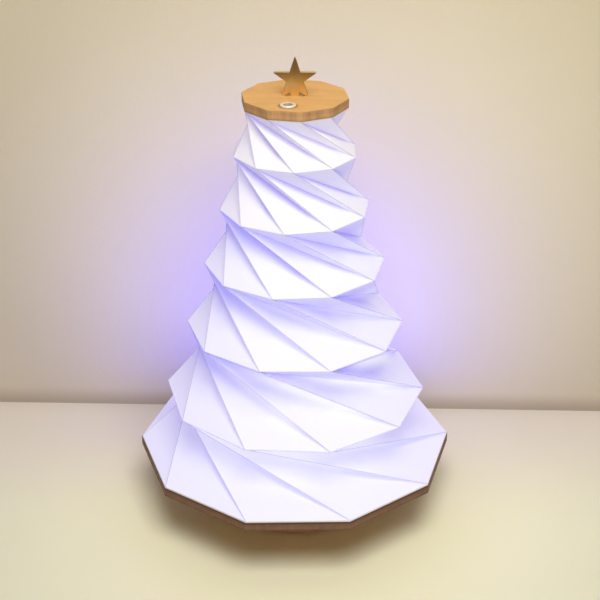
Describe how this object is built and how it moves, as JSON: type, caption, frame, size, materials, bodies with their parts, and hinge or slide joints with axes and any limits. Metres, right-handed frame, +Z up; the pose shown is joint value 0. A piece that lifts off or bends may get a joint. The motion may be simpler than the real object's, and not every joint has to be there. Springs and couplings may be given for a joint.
{
  "type": "folding table lamp",
  "caption": "Collapsible tree-shaped table lamp: twisted folded paper shade between plywood plates, star and push button on top, round battery base below.",
  "frame": {"origin": "on the table under the middle of the lamp", "axes": "+Z up along the shade's middle, the push button faces -Y, the star ten degrees from it towards +X, the charging socket +Y"},
  "size_m": [0.1962, 0.1998, 0.2928],
  "materials": {
    "paper": "matt folded paper, lit from inside with cool violet white light",
    "plywood": "sanded plywood with dark laser-cut edges",
    "gold": "polished gold",
    "bright_metal": "polished",
    "button_metal": "satin",
    "spring_steel": "plain",
    "black_plastic": "moulded",
    "clamp_board": "thin fibreboard",
    "screw_steel": "zinc plated",
    "lead_jacket": "soft white jacket",
    "white_board": "white circuit board",
    "light_chip": "light chip with a pale lens",
    "frosted": "frosted sheet",
    "dark_housing": "dark brown moulded shell",
    "foot": "soft dark brown foam pad",
    "cell_can": "sleeved can",
    "contact_metal": "nickel strip",
    "charger_board": "green circuit board",
    "socket_metal": "stamped shell"
  },
  "bodies": {
    "base": {"shade_tier_1": "paper", "shade_tier_2": "paper", "shade_tier_3": "paper", "shade_tier_4": "paper", "shade_tier_5": "paper", "shade_tier_6": "paper", "shade_bottom_hem": "paper", "base_plate": "plywood", "cell_holder": "black_plastic", "base_screws": "screw_steel", "light_board_screws": "screw_steel", "charging_board_screws": "screw_steel", "switch_lead": "lead_jacket", "cell_leads": "lead_jacket", "light_feed": "lead_jacket", "light_board": "white_board", "light_chips": "light_chip", "light_diffuser": "frosted", "base_housing": "dark_housing", "foot_pad": "foot", "cell": "cell_can", "cell_contacts": "contact_metal", "charging_board": "charger_board", "charging_socket": "socket_metal"},
    "shade_top": {"shade_top_hem": "paper"},
    "top": {"top_plate": "plywood", "star": "gold", "switch_bezel": "bright_metal", "switch_nut": "bright_metal", "switch_body": "black_plastic", "switch_dome": "spring_steel", "top_clamp_disc": "clamp_board", "top_clamp_screws": "screw_steel"},
    "button": {"switch_button": "button_metal"}
  },
  "joints": [
    {"name": "fold_slide", "type": "slide", "parent": "base", "child": "shade_top", "axis": [0, 0, 1], "range_m": [-0.208, 0], "deforming": ["shade_tier_1", "shade_tier_2", "shade_tier_3", "shade_tier_4", "shade_tier_5", "shade_tier_6", "switch_lead"]},
    {"name": "fold_twist", "type": "hinge", "parent": "shade_top", "child": "top", "pos_m": [0, 0, 0.264], "axis": [0, 0, 1], "range_deg": [-87.5, 0.5]},
    {"name": "button_press", "type": "slide", "parent": "top", "child": "button", "axis": [0, 0, -1], "range_m": [0, 0.0008], "stiffness_N_per_m": 1500, "springref_m": -0.0003, "deforming": ["switch_dome"]}
  ],
  "couplings": [
    {"joint": "fold_twist", "follows": "fold_slide", "rad_per_m": 7.3002}
  ]
}
